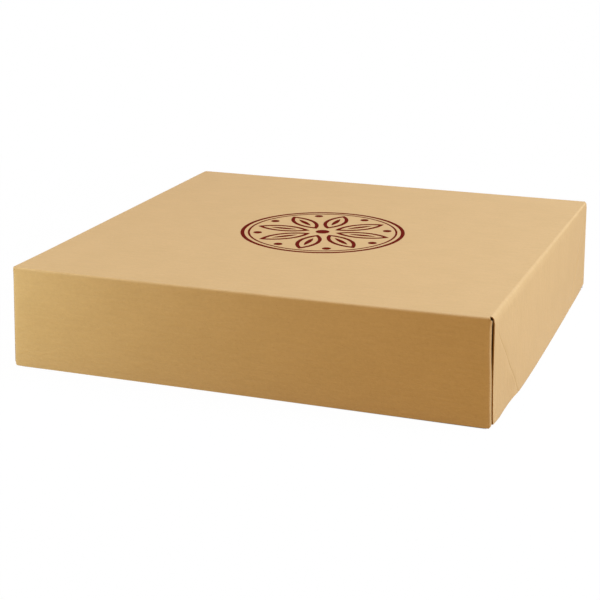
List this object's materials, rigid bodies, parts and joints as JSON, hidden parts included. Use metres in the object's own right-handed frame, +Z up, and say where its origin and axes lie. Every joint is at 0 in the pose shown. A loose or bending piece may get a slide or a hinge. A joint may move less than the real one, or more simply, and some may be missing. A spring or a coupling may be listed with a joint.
{
  "type": "apparel box",
  "caption": "Square telescoping apparel box in kraft paperboard: a full-depth lid that lifts off a tray, both folded and glued at the corners, with a printed rosette.",
  "frame": {"origin": "centre of the tray's underside, on the surface that the box stands on", "axes": "+Z up, the way the lid lifts off; the front panel faces -Y and the right side panel, with its cut end and crease, faces +X"},
  "size_m": [0.356, 0.356, 0.0766],
  "materials": {
    "kraft_tray": "matte",
    "kraft_lid": "matte",
    "maroon_ink": "satin"
  },
  "bodies": {
    "tray": {"tray": "kraft_tray"},
    "lid": {"lid": "kraft_lid", "medallion_print": "maroon_ink"}
  },
  "joints": [
    {"name": "lid_lift", "type": "slide", "parent": "tray", "child": "lid", "axis": [0, 0, 1], "range_m": [0, 0.15]}
  ]
}
